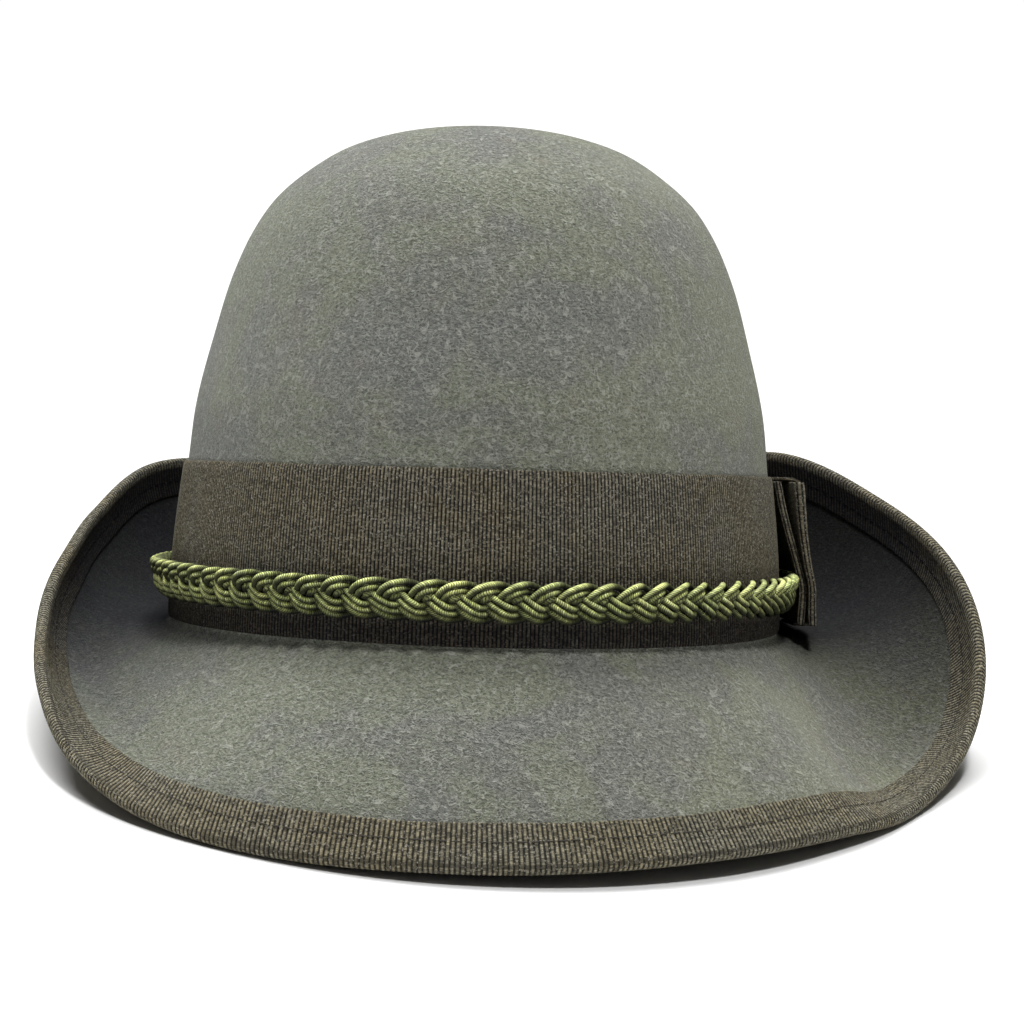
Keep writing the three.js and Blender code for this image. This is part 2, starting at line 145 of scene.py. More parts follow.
def smooth(table, field, at, period=0.0):
    """A column of a table at many places of its first column, on a curve through every row"""
    keys = np.array(next(iter(table.values())), float)
    values = np.array(table[field], float)
    at = np.asarray(at, float)
    if period:
        at = (at - keys[0]) % period + keys[0]
        keys = np.concatenate((keys[-2:] - period, keys, keys[:2] + period))
        values = np.concatenate((values[-2:], values, values[:2]))
    steps = np.diff(keys)
    rises = np.diff(values) / steps
    share = steps[:-1] / (steps[:-1] + steps[1:])
    slopes = np.concatenate((rises[:1], rises[:-1] * (1 - share) + rises[1:] * share, rises[-1:]))
    i = np.clip(np.searchsorted(keys, at, side="right") - 1, 0, len(steps) - 1)
    s = (at - keys[i]) / steps[i]
    rise, fall = s * s * (3 - 2 * s), s * s * (s - 1)
    return (values[i] * (1 - rise) + values[i + 1] * rise
            + steps[i] * (slopes[i] * s * (1 - s) ** 2 + slopes[i + 1] * fall))


def ramp(value, low, high):
    """0 at low, 1 at high and smooth between"""
    share = np.clip((value - low) / (high - low), 0, 1)
    return share * share * (3 - 2 * share)


def drift(at, seed, waves, period=2 * math.pi):
    """A slow wander between about -1 and 1 that closes on itself after a period"""
    random = np.random.default_rng(seed)
    total = np.zeros_like(np.asarray(at, float))
    for count in waves:
        total += random.uniform(0.4, 1) * np.sin(count * 2 * math.pi * at / period + random.uniform(0, 6.28))
    return total / math.sqrt(len(waves))


def crown_width(z):
    """The crown's width, as a share of the opening's, at a height"""
    hat, _ = sizes()
    return smooth(CROWN, "width", np.maximum(z, 0) / mm(hat.crown_height))


def place(turn, width, out, z):
    """Points at turns round the crown, moved out from the oval of that width"""
    hat, _ = sizes()
    a, b = mm(hat.half_width + hat.felt), mm(hat.half_length + hat.felt)
    turn, width, out, z = np.broadcast_arrays(turn, width, out, z)
    normal = np.stack((b * np.sin(turn), -a * np.cos(turn)), -1)
    normal /= np.linalg.norm(normal, axis=-1, keepdims=True)
    x = a * width * np.sin(turn) + out * normal[..., 0]
    y = -b * width * np.cos(turn) + out * normal[..., 1]
    return np.stack((x, y, z), -1)


def even_turns(count, line):
    """Turns that part a closed line round the hat into equal lengths, the first one at the back"""
    fine = np.linspace(-math.pi, math.pi, 4001)
    steps = np.linalg.norm(np.diff(line(fine), axis=0), axis=1)
    run = np.concatenate(([0], np.cumsum(steps)))
    return np.interp(np.linspace(0, run[-1], count + 1)[:-1], run, fine), run[-1]


class Brim:
    """The brim's sections at many turns: a bend off the crown, a wide arc, then the arc of the curled rim"""

    def __init__(self, turn):
        hat, _ = sizes()
        self.turn = turn
        self.bend = mm(hat.break_radius)
        self.felt = mm(hat.felt)
        degrees = np.degrees(turn)
        self.width = mm(hat.brim_width) * smooth(BRIM, "width", degrees, 360)
        self.start, self.curl, self.end = (
            np.radians(smooth(BRIM, field, degrees, 360)) for field in ("start", "curl", "end"))
        self.rim = mm(hat.brim_curl)
        self.reach = self.width - self.rim
        self.foot = (self.bend * (1 + np.sin(self.start)), self.bend * (1 - np.cos(self.start)))
        self.knee = self.arc(self.foot, self.reach, self.start, self.curl, self.reach)

    @staticmethod
    def arc(origin, length, first, last, s):
        """Place and slope after a length along an arc between two slopes"""
        bend = (last - first) / length
        bend = np.where(np.abs(bend) < 1e-6, 1e-6, bend)
        slope = first + bend * s
        return (origin[0] + (np.sin(slope) - np.sin(first)) / bend,
                origin[1] + (np.cos(first) - np.cos(slope)) / bend, slope)

    def point(self, s, lift=0.0):
        """Points off the upper face after a length of felt, moved along the felt's normal"""
        wide = self.arc(self.foot, self.reach, self.start, self.curl, np.minimum(s, self.reach))
        rim = self.arc(self.knee, self.rim, self.curl, self.end, np.maximum(s - self.reach, 0))
        out, z, slope = (np.where(s <= self.reach, a, b) for a, b in zip(wide, rim))
        return place(self.turn, 1, out - lift * np.sin(slope), z + lift * np.cos(slope))

    def edge(self, share, radius):
        """Points round the brim's edge: share 0 is the upper face and 1 the lower one"""
        out, z, slope = self.arc(self.knee, self.rim, self.curl, self.end, self.rim)
        out = out + self.felt / 2 * np.sin(slope)
        z = z - self.felt / 2 * np.cos(slope)
        angle = slope + math.pi / 2 - math.pi * share
        return place(self.turn, 1, out + radius * np.cos(angle), z + radius * np.sin(angle))

    def bend_row(self, share, depth):
        """Points on the bend between crown and brim, at a depth under its outer face"""
        angle = math.pi - share * (math.pi / 2 + self.start)
        radius = self.bend + depth
        return place(self.turn, 1, self.bend + radius * np.cos(angle), self.bend - radius * np.sin(angle))


def resting_pose():
    """Where the CAD hat lies: its band is symmetric about the hat's axis and its upper edge is flat"""
    hat, _ = sizes()
    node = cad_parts["ribbon_band"]
    corners = np.array([v.co[:] for v in node.data.vertices])
    corners = np.unique(corners.round(6), axis=0)
    values, axes = np.linalg.eigh(np.cov((corners - corners.mean(0)).T))
    up = axes[:, 0] * np.sign(axes[2, 0])
    heights = corners @ up
    ring = corners[heights > heights.max() - 0.5 * MM]
    roll, pitch = math.asin(up[0]), math.atan2(-up[1], up[2])
    turned = Matrix.Rotation(pitch, 4, "X") @ Matrix.Rotation(roll, 4, "Y")
    top = turned @ Vector((0, 0, hat.break_radius + hat.band_height))
    return Matrix.Translation(Vector(ring.mean(0)) - top) @ turned


def laid(points):
    """Points of the upright hat in millimetres, laid down in metres and pressed flat on the surface"""
    pose = np.array(resting_pose())
    world = (np.asarray(points) * MM) @ pose[:3, :3].T + pose[:3, 3]
    world[..., 2] = np.maximum(world[..., 2], 0)
    return world


def add_shade(mesh, values):
    """Stores how much light each corner keeps, from 0 to 1, for the materials"""
    layer = mesh.attributes.get("shade") or mesh.attributes.new("shade", "FLOAT", "POINT")
    layer.data.foreach_set("value", np.asarray(values, np.float32).ravel())


def grid_mesh(name, points, loop=False, poles=(), caps=False, across=None, along=None, shade=1.0):
    """A closed mesh from rows of points; every row is a ring, and with a loop the last row joins the first one"""
    rows, columns = points.shape[:2]
    index = np.arange(rows * columns).reshape(rows, columns)
    last = rows if loop else rows - 1
    near, far = index[:last], np.roll(index, -1, 0)[:last]
    quads = np.stack((near, far, np.roll(far, -1, 1), np.roll(near, -1, 1)), -1).reshape(-1, 4)
    world = laid(np.concatenate((points.reshape(-1, 3), np.array(poles).reshape(-1, 3))))
    inner = world[quads] - world.mean(0)
    volume = np.einsum("ij,ij->i", inner[:, 0], np.cross(inner[:, 1], inner[:, 2])).sum()
    volume += np.einsum("ij,ij->i", inner[:, 0], np.cross(inner[:, 2], inner[:, 3])).sum()
    faces = quads.tolist()
    for end, pole in enumerate(range(rows * columns, len(world))):
        ring = index[-1 if end else 0]
        fan = [(pole, a, b) for a, b in zip(ring.tolist(), np.roll(ring, -1).tolist())]
        faces += [face[::-1] for face in fan] if end else fan
    if caps:
        faces += [index[0].tolist(), index[-1][::-1].tolist()]
    if volume < 0:
        faces = [face[::-1] for face in faces]
    mesh = bpy.data.meshes.new(name)
    mesh.from_pydata(world.tolist(), [], faces)
    if across is not None:
        cell_v, cell_u = np.divmod(np.arange(len(quads)), columns)
        u = np.stack((across[cell_u], across[cell_u], across[cell_u + 1], across[cell_u + 1]), -1)
        v = np.stack((along[cell_v], along[cell_v + 1], along[cell_v + 1], along[cell_v]), -1)
        uv = np.stack((u, v), -1)
        if volume < 0:
            uv = uv[:, ::-1]
        flat = np.zeros((len(mesh.loops), 2), np.float32)
        flat[:uv.size // 2] = uv.reshape(-1, 2)
        mesh.uv_layers.new(name="UVMap").data.foreach_set("uv", flat.ravel())
    kept = np.ones(len(world))
    kept[:rows * columns] = np.broadcast_to(shade, (rows, columns)).ravel()
    add_shade(mesh, kept)
    mesh.validate()
    mesh.shade_smooth()
    return mesh


def add_piece(name, mesh, material, *nodes, slot):
    """A finished piece that rides on the hat and stands for CAD nodes"""
    piece = bpy.data.objects.new(name, mesh)
    bpy.context.scene.collection.objects.link(piece)
    if material is not None:
        mesh.materials.clear()
        mesh.materials.append(material)
    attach(piece, "root")
    if nodes:
        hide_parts(*nodes)
    return piece


class Wire:
    """An output socket whose arithmetic adds Math nodes"""

    def __init__(self, socket):
        self.socket = socket

    def _math(self, operation, *terms):
        return add_node(self.socket.id_data, "ShaderNodeMath", {"operation": operation}, dict(enumerate(terms)))[0]

    def __add__(self, other):
        return self._math("ADD", self, other)

    def __sub__(self, other):
        return self._math("SUBTRACT", self, other)

    def __mul__(self, other):
        return self._math("MULTIPLY", self, other)

    def __truediv__(self, other):
        return self._math("DIVIDE", self, other)

    def __pow__(self, other):
        return self._math("POWER", self, other)

    def __rsub__(self, other):
        return self._math("SUBTRACT", other, self)

    def __rtruediv__(self, other):
        return self._math("DIVIDE", other, self)

    __radd__ = __add__
    __rmul__ = __mul__

    def __abs__(self):
        return self._math("ABSOLUTE", self)

    def __neg__(self):
        return self * -1

    def sin(self):
        """Sine of a value in radians"""
        return self._math("SINE", self)

    def floor(self):
        """The whole number below the value"""
        return self._math("FLOOR", self)

    def step(self, low, high):
        """0 below low, 1 over high and smooth between"""
        settings = {"interpolation_type": "SMOOTHSTEP"}
        return add_node(self.socket.id_data, "ShaderNodeMapRange", settings, {0: self, 1: low, 2: high})[0]


def add_node(tree, kind, settings=None, values=None):
    """Adds a node with its settings, then the values or links of its sockets, and returns its outputs"""
    node = tree.nodes.new(kind)
    for key, value in (settings or {}).items():
        if key == "stops":
            while len(node.color_ramp.elements) < len(value):
                node.color_ramp.elements.new(0.5)
            for element, (position, colour) in zip(node.color_ramp.elements, value):
                element.position = position
                element.color = (*colour, 1)
        elif key == "capture":
            node.capture_items.new(*value)
        else:
            setattr(node, key, value)
    for key, value in (values or {}).items():
        socket = node.inputs[key]
        if isinstance(value, Wire):
            tree.links.new(value.socket, socket)
        elif isinstance(value, (tuple, list)) and socket.type == "RGBA":
            socket.default_value = (*value[:3], 1)
        else:
            socket.default_value = value
    return [Wire(output) for output in node.outputs]


def mix_colour(tree, factor, first, second, blend="MIX"):
    """A Mix node on two colours"""
    return add_node(tree, "ShaderNodeMix", {"data_type": "RGBA", "blend_type": blend},
                    {0: factor, 6: first, 7: second})[2]


def cloth_material(name, paint):
    """A new material: paint adds its nodes and returns colour, roughness, bump height and the shader's constants"""
    material = bpy.data.materials.new(name)
    material.use_nodes = True
    tree = material.node_tree
    tree.nodes.clear()
    colour, roughness, height, depth, constants = paint(tree)
    normal = add_node(tree, "ShaderNodeBump", None, {"Strength": 1.0, "Distance": depth, "Height": height})[0]
    values = {"Base Color": colour, "Roughness": roughness, "Normal": normal}
    values.update(constants)
    shader = add_node(tree, "ShaderNodeBsdfPrincipled", None, values)[0]
    # Painted shade: the mesh's shade attribute mixes a near-black shader over the cloth where the cloth is meant to lie
    # in shadow.
    kept = add_node(tree, "ShaderNodeAttribute", {"attribute_name": "shade"})[2]
    deep = add_node(tree, "ShaderNodeBsdfPrincipled", None, {
        "Base Color": (0.006, 0.006, 0.009), "Roughness": 1.0, "Specular IOR Level": 0.0})[0]
    shader = add_node(tree, "ShaderNodeMixShader", None, {0: kept, 1: deep, 2: shader})[0]
    add_node(tree, "ShaderNodeOutputMaterial", None, {0: shader})
    return material


def noise(tree, vector, scale, detail=2.0, roughness=0.5, distortion=0.0, shift=0.0):
    """A noise value on moved coordinates, so that each shift gives another pattern"""
    moved = add_node(tree, "ShaderNodeVectorMath", {"operation": "ADD"}, {0: vector, 1: (shift, shift * 0.7, -shift)})[0]
    return add_node(tree, "ShaderNodeTexNoise", None, {
        "Vector": moved, "Scale": scale, "Detail": detail, "Roughness": roughness, "Distortion": distortion})[0]


def paint_felt(tree):
    """Fur felt: slate and green blotches, salt and pepper, and short pale fibres that lie in all directions"""
    colours = bpy.context.scene.hat_colours
    spot = add_node(tree, "ShaderNodeTexCoord")[3]
    fibres = None
    for shift, scale, thin in ((0.31, 300, 0.035), (0.77, 420, 0.045), (1.23, 560, 0.055), (1.9, 760, 0.065)):
        line = 1 - abs(noise(tree, spot, scale, 1.0, 0.4, 0.6, shift) - 0.5).step(thin * 0.3, thin)
        part = noise(tree, spot, scale * 1.1, 0.0, 0.5, 0.0, shift + 5).step(0.54, 0.64)
        layer = line * part
        fibres = layer if fibres is None else fibres._math("MAXIMUM", fibres, layer)
    lying = add_node(tree, "ShaderNodeVectorMath", {"operation": "MULTIPLY"}, {0: spot, 1: (1, 1, 2)})[0]
    grain = noise(tree, lying, 1000, 3.0, 0.6, 0.5, 2.7).step(0.3, 0.7)
    fine = noise(tree, lying, 2300, 2.0, 0.6, 0.3, 8.8).step(0.3, 0.7)
    clump = noise(tree, spot, 330, 2.0, 0.55, 0.8, 3.3)
    blotch = noise(tree, spot, 42, 3.0, 0.6, 0.6, 4.1)
    cloud = noise(tree, spot, 14, 2.0, 0.5, 0.2, 6.2)
    base = mix_colour(tree, (blotch * 0.65 + cloud * 0.35).step(0.4, 0.62), tuple(colours.felt), tuple(colours.felt_cool))
    rosy = noise(tree, spot, 60, 2.0, 0.5, 0.4, 9.4).step(0.6, 0.75)
    base = mix_colour(tree, rosy * 0.35, base, (0.2, 0.17, 0.145))
    warm = add_node(tree, "ShaderNodeSeparateXYZ", None, {0: spot})[0].step(-0.03, 0.13)
    base = mix_colour(tree, warm, base, (1, 0.975, 0.86), "MULTIPLY")
    shade = 0.22 + grain * 0.84 + fine * 0.6 + clump * 0.12
    base = add_node(tree, "ShaderNodeVectorMath", {"operation": "SCALE"}, {0: base, 3: shade})[0]
    colour = mix_colour(tree, fibres * 0.5, base, tuple(colours.felt_fibre))
    height = fibres * 0.5 + grain * 0.42 + fine * 0.18 + clump * 0.3
    constants = {"Specular IOR Level": 0.12, "Sheen Weight": 0.3, "Sheen Roughness": 0.42,
                 "Sheen Tint": (0.85, 0.87, 0.8)}
    return colour, 0.93, height, 0.0007, constants


def paint_ribbon(base_name, painted_valley_shade, thread_pitch):
    """A painter for ribbed ribbon: the UV map counts ribs across and millimetres along them"""
    def paint(tree):
        base = tuple(getattr(bpy.context.scene.hat_colours, base_name))
        uv = add_node(tree, "ShaderNodeUVMap", {"uv_map": "UVMap"})[0]
        parts = add_node(tree, "ShaderNodeSeparateXYZ", None, {0: uv})
        rib, run = parts[0], parts[1]
        number = rib.floor()
        round_rib = abs((rib * math.pi).sin())
        thread = abs(((run / thread_pitch + number * 0.5) * math.pi).sin())
        spot = add_node(tree, "ShaderNodeTexCoord")[3]
        shift = add_node(tree, "ShaderNodeCombineXYZ", None, {0: number * 0.37, 1: run * 0.035, 2: number * 0.11})[0]
        streak = noise(tree, shift, 5.0, 2.0, 0.6)
        lint = noise(tree, spot, 900, 2.0, 0.6, 0.4, 1.7)
        worn = noise(tree, spot, 40, 3.0, 0.55, 0.2, 7.7)
        # Painted highlight: small pale specks mixed into the colour stand in for glints on the threads.
        painted_glint = noise(tree, spot, 1900, 1.0, 0.5, 0.0, 3.9).step(0.58, 0.72)
        valley = round_rib.step(0.28, 0.9)
        toss = add_node(tree, "ShaderNodeTexWhiteNoise", {"noise_dimensions": "2D"}, {
            "Vector": add_node(tree, "ShaderNodeCombineXYZ", None, {0: number, 1: (run / thread_pitch).floor()})[0]})[0]
        # Painted shade: the colour is darkened in the valleys between the ribs; the thread, streak, wear and lint terms
        # are the ribbon's own pattern.
        shade = (painted_valley_shade + (1 - painted_valley_shade) * valley) * (0.55 + 0.6 * thread) * (0.5 + 0.7 * streak + 0.35 * worn)
        shade = shade * (0.4 + 1.2 * lint) * (0.4 + 1.2 * toss)
        tone = mix_colour(tree, worn.step(0.4, 0.66), base, (base[0] * 0.9, base[1] * 0.96, base[2] * 1.1))
        tone = add_node(tree, "ShaderNodeVectorMath", {"operation": "SCALE"}, {0: tone, 3: shade})[0]
        tone = mix_colour(tree, painted_glint * 0.6, tone, (0.42, 0.4, 0.34))
        height = valley * 0.55 + thread * valley * 0.4 + lint * 0.12
        constants = {"Specular IOR Level": 0.22, "Sheen Weight": 0.05, "Sheen Roughness": 0.5,
                     "Sheen Tint": (0.75, 0.72, 0.6)}
        return tone, 0.72, height, 0.0003, constants
    return paint


def paint_cord(tree):
    """Shiny thread wrapped round a cord: the wrap attribute counts its turns"""
    base = tuple(bpy.context.scene.hat_colours.cord)
    wrap = add_node(tree, "ShaderNodeAttribute", {"attribute_name": "wrap"})[2]
    spot = add_node(tree, "ShaderNodeTexCoord")[3]
    ridge = abs((wrap * math.pi).sin())
    number = wrap.floor()
    toss = add_node(tree, "ShaderNodeTexWhiteNoise", {"noise_dimensions": "1D"}, {"W": number})[0]
    slow = noise(tree, spot, 120, 2.0, 0.5, 0.0, 1.1)
    # Painted shade: the colour is darkened in the grooves between the thread's turns.
    shade = (0.16 + 0.94 * ridge.step(0.1, 0.75)) * (0.6 + 0.7 * toss) * (0.7 + 0.6 * slow)
    tone = mix_colour(tree, slow.step(0.35, 0.7), base, (base[0] * 1.25, base[1] * 1.18, base[2] * 1.2))
    tone = add_node(tree, "ShaderNodeVectorMath", {"operation": "SCALE"}, {0: tone, 3: shade})[0]
    constants = {"Specular IOR Level": 0.75, "Sheen Weight": 0.06, "Sheen Roughness": 0.3,
                 "Sheen Tint": (0.8, 0.9, 0.5)}
    return tone, 0.34 - 0.06 * ridge, ridge, 0.0002, constants


def paint_thread(tree):
    """Dark twisted sewing thread"""
    base = tuple(bpy.context.scene.hat_colours.thread)
    spot = add_node(tree, "ShaderNodeTexCoord")[3]
    twist = noise(tree, spot, 2400, 1.0, 0.5)
    tone = mix_colour(tree, twist, (base[0] * 0.6, base[1] * 0.6, base[2] * 0.6), (base[0] * 2, base[1] * 2, base[2] * 2))
    return tone, 0.6, twist, 0.00008, {"Specular IOR Level": 0.3}


def material_named(name):
    """A material by its name, made at its first use"""
    painters = {
        "fur felt": paint_felt,
        "band ribbon": paint_ribbon("ribbon", 0.01, 0.36),
        "binding ribbon": paint_ribbon("binding", 0.08, 0.4),
        "wrapped cord": paint_cord,
        "sewing thread": paint_thread,
    }
    return bpy.data.materials.get(name) or cloth_material(name, painters[name])


def ribbed(u):
    """Height of a ribbon's face at a place counted in ribs: 0 in a valley and 1 on a rib"""
    return np.sqrt(np.clip(1 - (2 * (u % 1) - 1) ** 2, 0, 1))


def gutter_painted_shade(turn):
    """How deep in shadow the brim's hollow is at a turn: deepest at the sides, lighter at the back"""
    degrees = np.abs(np.degrees(turn))
    deep = np.where(turn < 0, ramp(degrees, 26, 92), ramp(degrees, 54, 96))
    return 0.98 * deep * (1 - 0.5 * ramp(degrees, 120, 150))


def felt_rows(turn):
    """The felt's rows of points, from the crown's top down its outside, round the brim's edge and back up inside"""
    hat, _ = sizes()
    felt, high, bend = mm(hat.felt), mm(hat.crown_height), mm(hat.break_radius)
    brim = Brim(turn)
    width = np.array(CROWN["width"] + (0, -0.25))
    height = np.array(CROWN["height"] + (1, 0.989))
    mean = mm(hat.half_width + hat.half_length) / 2 + felt
    run = np.concatenate(([0], np.cumsum(np.hypot(np.diff(width) * mean, np.diff(height) * high))))
    profile = {"run": run, "width": width, "height": height}
    top = np.linspace(run[-2] - 1.2, run[4], 74)
    widths, heights = smooth(profile, "width", top), smooth(profile, "height", top) * high
    wall = np.linspace(heights[-1], bend, 38)[1:]
    widths, heights = np.concatenate((widths, crown_width(wall))), np.concatenate((heights, wall))
    slope_r, slope_z = np.gradient(widths * mean), np.gradient(heights)
    length = np.hypot(slope_r, slope_z)
    inset_out, inset_z = felt * slope_z / length, -felt * slope_r / length
    rows = [place(turn, w, 0, z) for w, z in zip(widths, heights)]
    rows += [brim.bend_row(share, 0) for share in np.linspace(0, 1, 5)[1:]]
    rows += [brim.point(brim.width * s) for s in np.linspace(0, 1, 40)[1:]]
    rim = len(rows)
    rows += [brim.edge(share, felt / 2) for share in np.linspace(0, 1, 8)[1:-1]]
    rows += [brim.point(brim.width * s, -felt) for s in np.linspace(1, 0, 34)[:-1]]
    rows += [brim.bend_row(share, felt) for share in (1, 0.66, 0.33, 0)]
    rows += [place(turn, w, o, z - abs(i)) for w, z, o, i in list(zip(widths, heights, inset_out, inset_z))[-3::-2]]
    return np.array(rows), high, rim


class HAT_OT_felt(bpy.types.Operator):
    """Makes the felt body: crown and brim in one shell"""
    bl_idname = "hat.felt"
    bl_label = "Felt body"

    def execute(self, context):
        hat, _ = sizes()
        turn = np.linspace(-math.pi, math.pi, 257)[:-1]
        rows, high, rim = felt_rows(turn)
        # Painted shade: the brim's upper face is darkened in its hollow, most at the sides and less at the back.
        out = np.hypot(rows[..., 0] / mm(hat.half_width + hat.felt), rows[..., 1] / mm(hat.half_length + hat.felt)) - 1
        deep = ramp(out, 0, 0.02) * (np.arange(len(rows)) < rim)[:, None]
        mesh = grid_mesh("felt_shell", rows, poles=((0, 0, high), (0, 0, high - mm(hat.felt))),
                         shade=1 - 0.95 * gutter_painted_shade(turn) * deep)
        add_piece("felt_shell", mesh, material_named("fur felt"), "felt_body", slot="felt")
        return {"FINISHED"}


class HAT_OT_band(bpy.types.Operator):
    """Makes the ribbed ribbon round the crown"""
    bl_idname = "hat.band"
    bl_label = "Ribbon band"

    def execute(self, context):
        hat, trim = sizes()
        foot = mm(hat.break_radius)
        high, thick, gap = mm(hat.band_height), mm(hat.ribbon), mm(hat.clearance)
        line = lambda t: place(t, crown_width(foot + high / 2), gap + thick, foot)
        _, length = even_turns(10, line)
        ribs = round(length / mm(hat.band_rib))
        turn, _ = even_turns(ribs * 4, line)
        count = np.arange(ribs * 4 + 1) / 4
        rib = ribbed(count[:-1])
        edge = 0.14 * rib + 0.12 * drift(turn, 5, (3, 7, 11))
        outer = [(0, 0.55), (0.012, 0.86), (0.04, 1)] + [(s, 1) for s in np.linspace(0.1, 0.9, 15)]
        outer += [(0.96, 1), (0.988, 0.86), (1, 0.55)]
        rows, along = [], []
        for share, full in outer:
            z = foot + 0.1 + share * (high - 0.1) + edge * (1 if share > 0.5 else -0.7) * (abs(share - 0.5) > 0.45)
            out = gap + thick * full * (0.68 + 0.32 * rib)
            rows.append(place(turn, crown_width(z), out, z))
            along.append(share * high)
        for share in (1, 0.66, 0.33, 0):
            z = foot + 0.1 + share * (high - 0.1) + edge * (0 if 0 < share < 1 else 1 if share else -0.7)
            rows.append(place(turn, crown_width(z), gap, z))
            along.append(high + (1 - share) * high)
        rows = np.array(rows)
        # Painted shadow: the band is darkened below the plait, where the plait shades it, and a little more at the
        # sides.
        under = mm(trim.plait_level - trim.plait_height / 2)
        side = ramp(np.abs(np.degrees(turn)), 60, 95)
        kept = (0.3 + 0.7 * ramp(rows[..., 2], under - 1, under + 5)) * (1 - 0.35 * side)
        mesh = grid_mesh("band", rows, loop=True, across=count, along=np.array(along + [2 * high + 1]), shade=kept)
        add_piece("band", mesh, material_named("band ribbon"), "ribbon_band", slot="band_ribbon")
        return {"FINISHED"}


class HAT_OT_binding(bpy.types.Operator):
    """Makes the ribbed ribbon that is folded over the brim's edge"""
    bl_idname = "hat.binding"
    bl_label = "Brim binding"

    def execute(self, context):
        hat, trim = sizes()
        thick, gap, depth = mm(hat.binding_ribbon), 0.05, mm(hat.binding_depth)
        line = lambda t: Brim(t).edge(0.5, mm(hat.felt) / 2)
        _, length = even_turns(10, line)
        ribs = round(length / mm(hat.binding_rib))
        turn, _ = even_turns(ribs * 4, line)
        count = np.arange(ribs * 4 + 1) / 4
        rib = ribbed(count[:-1])
        lean = 0.014 * drift(turn, 8, (2, 3, 5))
        inset = mm(trim.stitch_inset)
        rows, along, kept = [], [], []
        # Painted shade: the hollow's darkening reaches the binding's upper face and the upper half of its edge; the
        # lower face stays lit.
        hollow_shade = 0.93 * gutter_painted_shade(np.sign(turn) * np.maximum(np.abs(turn) - 0.12, 0))

        def face(lift, steps, side):
            for share, full in steps:
                brim = Brim(turn + lean * share)
                edge = 0.16 * rib + 0.3 * drift(turn, 21 + side, (5, 9, 14, 23))
                s = brim.width - share * (depth + edge)
                sunk = 0.16 * np.exp(-((share * depth - inset) / 0.7) ** 2)
                rise = gap + lift * (full * (0.66 + 0.34 * rib) - sunk)
                rows.append(brim.point(s, rise if side == 0 else -mm(hat.felt) - rise))
                along.append(side * 14 + depth * share)
                kept.append(1 - (hollow_shade * ramp(share, -0.06, 0.08) if side == 0 else 0 * hollow_shade))

        steps = [(1, 0.5), (0.985, 0.84), (0.95, 1)] + [(s, 1) for s in np.linspace(0.88, 0, 8)]
        face(thick, steps, 0)
        brim = Brim(turn)
        for share in np.linspace(0, 1, 7)[1:-1]:
            rows.append(brim.edge(share, mm(hat.felt) / 2 + gap + thick * (0.66 + 0.34 * rib)))
            along.append(share * 5 + 10)
            kept.append(1 - hollow_shade * ramp(share, 0.42, -0.1))
        face(thick, steps[::-1], 1)
        face(0, ((1, 0), (0.5, 0), (0, 0)), 1)
        rows.append(brim.edge(0.5, mm(hat.felt) / 2 + gap))
        along.append(0)
        kept.append(np.ones(len(turn)))
        face(0, ((0, 0), (0.5, 0), (1, 0)), 0)
        along.append(0)
        mesh = grid_mesh("binding", np.array(rows), loop=True, across=count, along=np.array(along), shade=np.array(kept))
        add_piece("binding", mesh, material_named("binding ribbon"), "brim_binding", slot="binding_ribbon")
        return {"FINISHED"}


def ply_out(ply, share):
    """How far the middle of a bow ply stands off the crown at a height share, plies counted outwards"""
    hat, trim = sizes()
    room = mm(trim.plait_thickness + hat.clearance)
    gap = mm(hat.clearance + hat.ribbon)
    lean = smooth(BOW, "lean", share) * room
    opened = smooth(BOW, "open", share) * room
    base = mm(2 * hat.clearance + hat.ribbon + hat.ribbon / 2) + lean
    return base + (0, gap, gap * 2 + opened, gap * 3 + opened * 1.35)[ply]


def turn_along(y):
    """The turn at a distance along Y from the widest place of the crown"""
    hat, _ = sizes()
    return np.arccos(-y / mm(hat.half_length + hat.felt))


def loop_mesh(name, inner, inset, seed):
    """A flat loop of ribbed ribbon: two plies joined by a fold at each end"""
    hat, trim = sizes()
    start, stop = -mm(trim.bow_lead) + inset, mm(trim.bow_length - trim.bow_lead) - inset
    half = mm(hat.ribbon) / 2
    pitch = mm(hat.band_rib)
    ribs = round((stop - start) / pitch)
    steps, bends = ribs * 4, 12
    straight, round_ = np.linspace(0, 1, steps + 1), np.linspace(0, 1, bends + 1)[1:-1]
    share = np.concatenate((straight, np.ones(bends - 1), straight[::-1], np.zeros(bends - 1)))
    outer = np.concatenate((np.ones(steps + bends), np.zeros(steps + bends)))
    fold = np.concatenate((np.zeros(steps + 1), round_, np.zeros(steps + 1), round_))
    folded = fold > 0
    count = np.arange(len(share) + 1) / 4
    rib = ribbed(count[:-1])
    levels = np.concatenate(([0, 0.012], np.linspace(0.04, 0.96, 26), [0.988, 1]))
    rims = np.clip(np.minimum(levels, 1 - levels) / 0.04, 0, 1)

    def row(level, offset):
        near, far = ply_out(inner, level), ply_out(inner + 1, level)
        z = mm(trim.bow_lift) + level * mm(trim.bow_height)
        sign = np.where(outer > 0, 1, -1)
        wave = 0.12 * drift(share * 6 + outer, seed, (1, 2, 3))
        flat = np.where(outer > 0, far, near) + offset * sign + wave * share * (1 - share) * 4
        radius = (far - near) / 2 + offset
        angle = sign * (math.pi / 2 - math.pi * fold)
        y = np.where(folded, np.where(outer > 0, stop, start) + sign * radius * np.cos(angle),
                     start + (stop - start) * share)
        out = np.where(folded, (near + far) / 2 + radius * np.sin(angle), flat)
        return place(turn_along(y), crown_width(z), out, z)

    rows = [row(a, half * (0.6 + 0.4 * r) * (0.68 + 0.32 * rib)) for a, r in zip(levels, rims)]
    rows += [row(a, -half * (0.6 + 0.4 * r) * (0.9 + 0.1 * rib)) for a, r in zip(levels[::-1], rims[::-1])]
    high = mm(trim.bow_height)
    along = np.concatenate((levels * high, high + 1 + (1 - levels[::-1]) * high, [2 * high + 2]))
    return grid_mesh(name, np.array(rows), loop=True, across=count, along=along)


